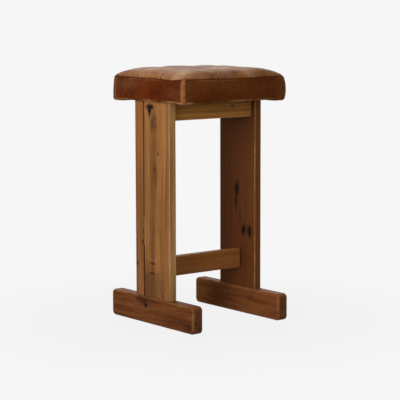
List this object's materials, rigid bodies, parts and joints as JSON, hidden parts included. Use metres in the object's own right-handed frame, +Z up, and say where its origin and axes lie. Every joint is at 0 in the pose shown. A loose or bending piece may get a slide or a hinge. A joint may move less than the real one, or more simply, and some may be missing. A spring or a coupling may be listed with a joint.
{
  "type": "bar stool",
  "caption": "Square bar stool with a padded leather seat sewn in puffed squares, on a timber trestle of board legs, sled feet, a footrest rail and rails under the seat.",
  "frame": {"origin": "on the floor, midway between the feet and under the middle of the seat", "axes": "+Z up; +X from the left foot to the right foot, across the gap between the legs; +Y from the front to the rear, along the feet"},
  "size_m": [0.372, 0.395, 0.748],
  "materials": {
    "timber": "satin oiled hardwood",
    "wedge_timber": "darker end grain",
    "batten_timber": "plain sawn",
    "plywood": "raw",
    "foam": "soft",
    "wadding": "soft",
    "leather": "semi-gloss, waxed",
    "welt_leather": "satin",
    "black_cloth": "matte",
    "steel": "zinc plated"
  },
  "bodies": {
    "root": {"left_foot": "timber", "right_foot": "timber", "left_leg_wide_plank": "timber", "left_leg_narrow_plank": "timber", "right_leg": "timber", "stretcher": "timber", "front_apron": "timber", "rear_apron": "timber", "left_tenon_wedge": "wedge_timber", "right_tenon_wedge": "wedge_timber", "left_cleat": "batten_timber", "right_cleat": "batten_timber", "apron_dowels": "batten_timber", "seat_board": "plywood", "foam_pad": "foam", "crown_wadding": "wadding", "front_left_square": "leather", "front_centre_square": "leather", "front_right_square": "leather", "middle_left_square": "leather", "middle_centre_square": "leather", "middle_right_square": "leather", "rear_left_square": "leather", "rear_centre_square": "leather", "rear_right_square": "leather", "front_band": "leather", "rear_band": "leather", "left_band": "leather", "right_band": "leather", "front_left_welt": "welt_leather", "front_right_welt": "welt_leather", "rear_left_welt": "welt_leather", "rear_right_welt": "welt_leather", "dust_cover": "black_cloth", "seat_screws": "steel", "cleat_screws": "steel", "foot_screws": "steel", "hem_staples": "steel", "dust_cover_staples": "steel"}
  },
  "joints": []
}
